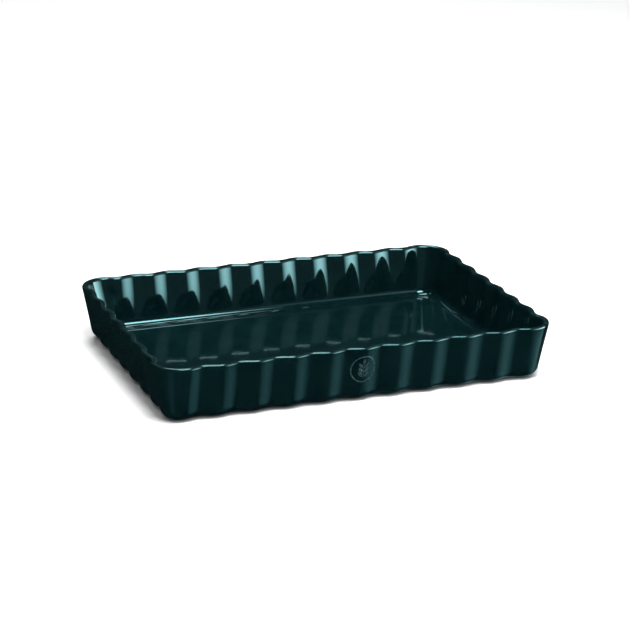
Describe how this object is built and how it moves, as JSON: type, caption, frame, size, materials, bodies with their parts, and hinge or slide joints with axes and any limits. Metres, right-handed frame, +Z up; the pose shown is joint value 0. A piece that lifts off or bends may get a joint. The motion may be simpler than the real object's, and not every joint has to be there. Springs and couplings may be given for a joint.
{
  "type": "tart dish",
  "caption": "Rectangular fluted ceramic tart dish with leaning wavy walls, rounded lip, flat coved floor, bare foot ring and a round mark on the front wall.",
  "frame": {"origin": "centre of the plane the dish stands on, under the middle of its box", "axes": "+X along the long side, +Z up, -Y towards the long wall with the round mark"},
  "size_m": [0.335, 0.24, 0.0477],
  "materials": {
    "bare_clay": "bare fired stoneware, matt",
    "teal_glaze": "dark teal glaze, high gloss",
    "grey_transfer": "fired-on grey transfer, satin"
  },
  "bodies": {
    "root": {"clay_body": "bare_clay", "glaze_coat": "teal_glaze", "underside_glaze": "teal_glaze", "roundel_ring": "grey_transfer", "roundel_motif": "grey_transfer"}
  },
  "joints": []
}
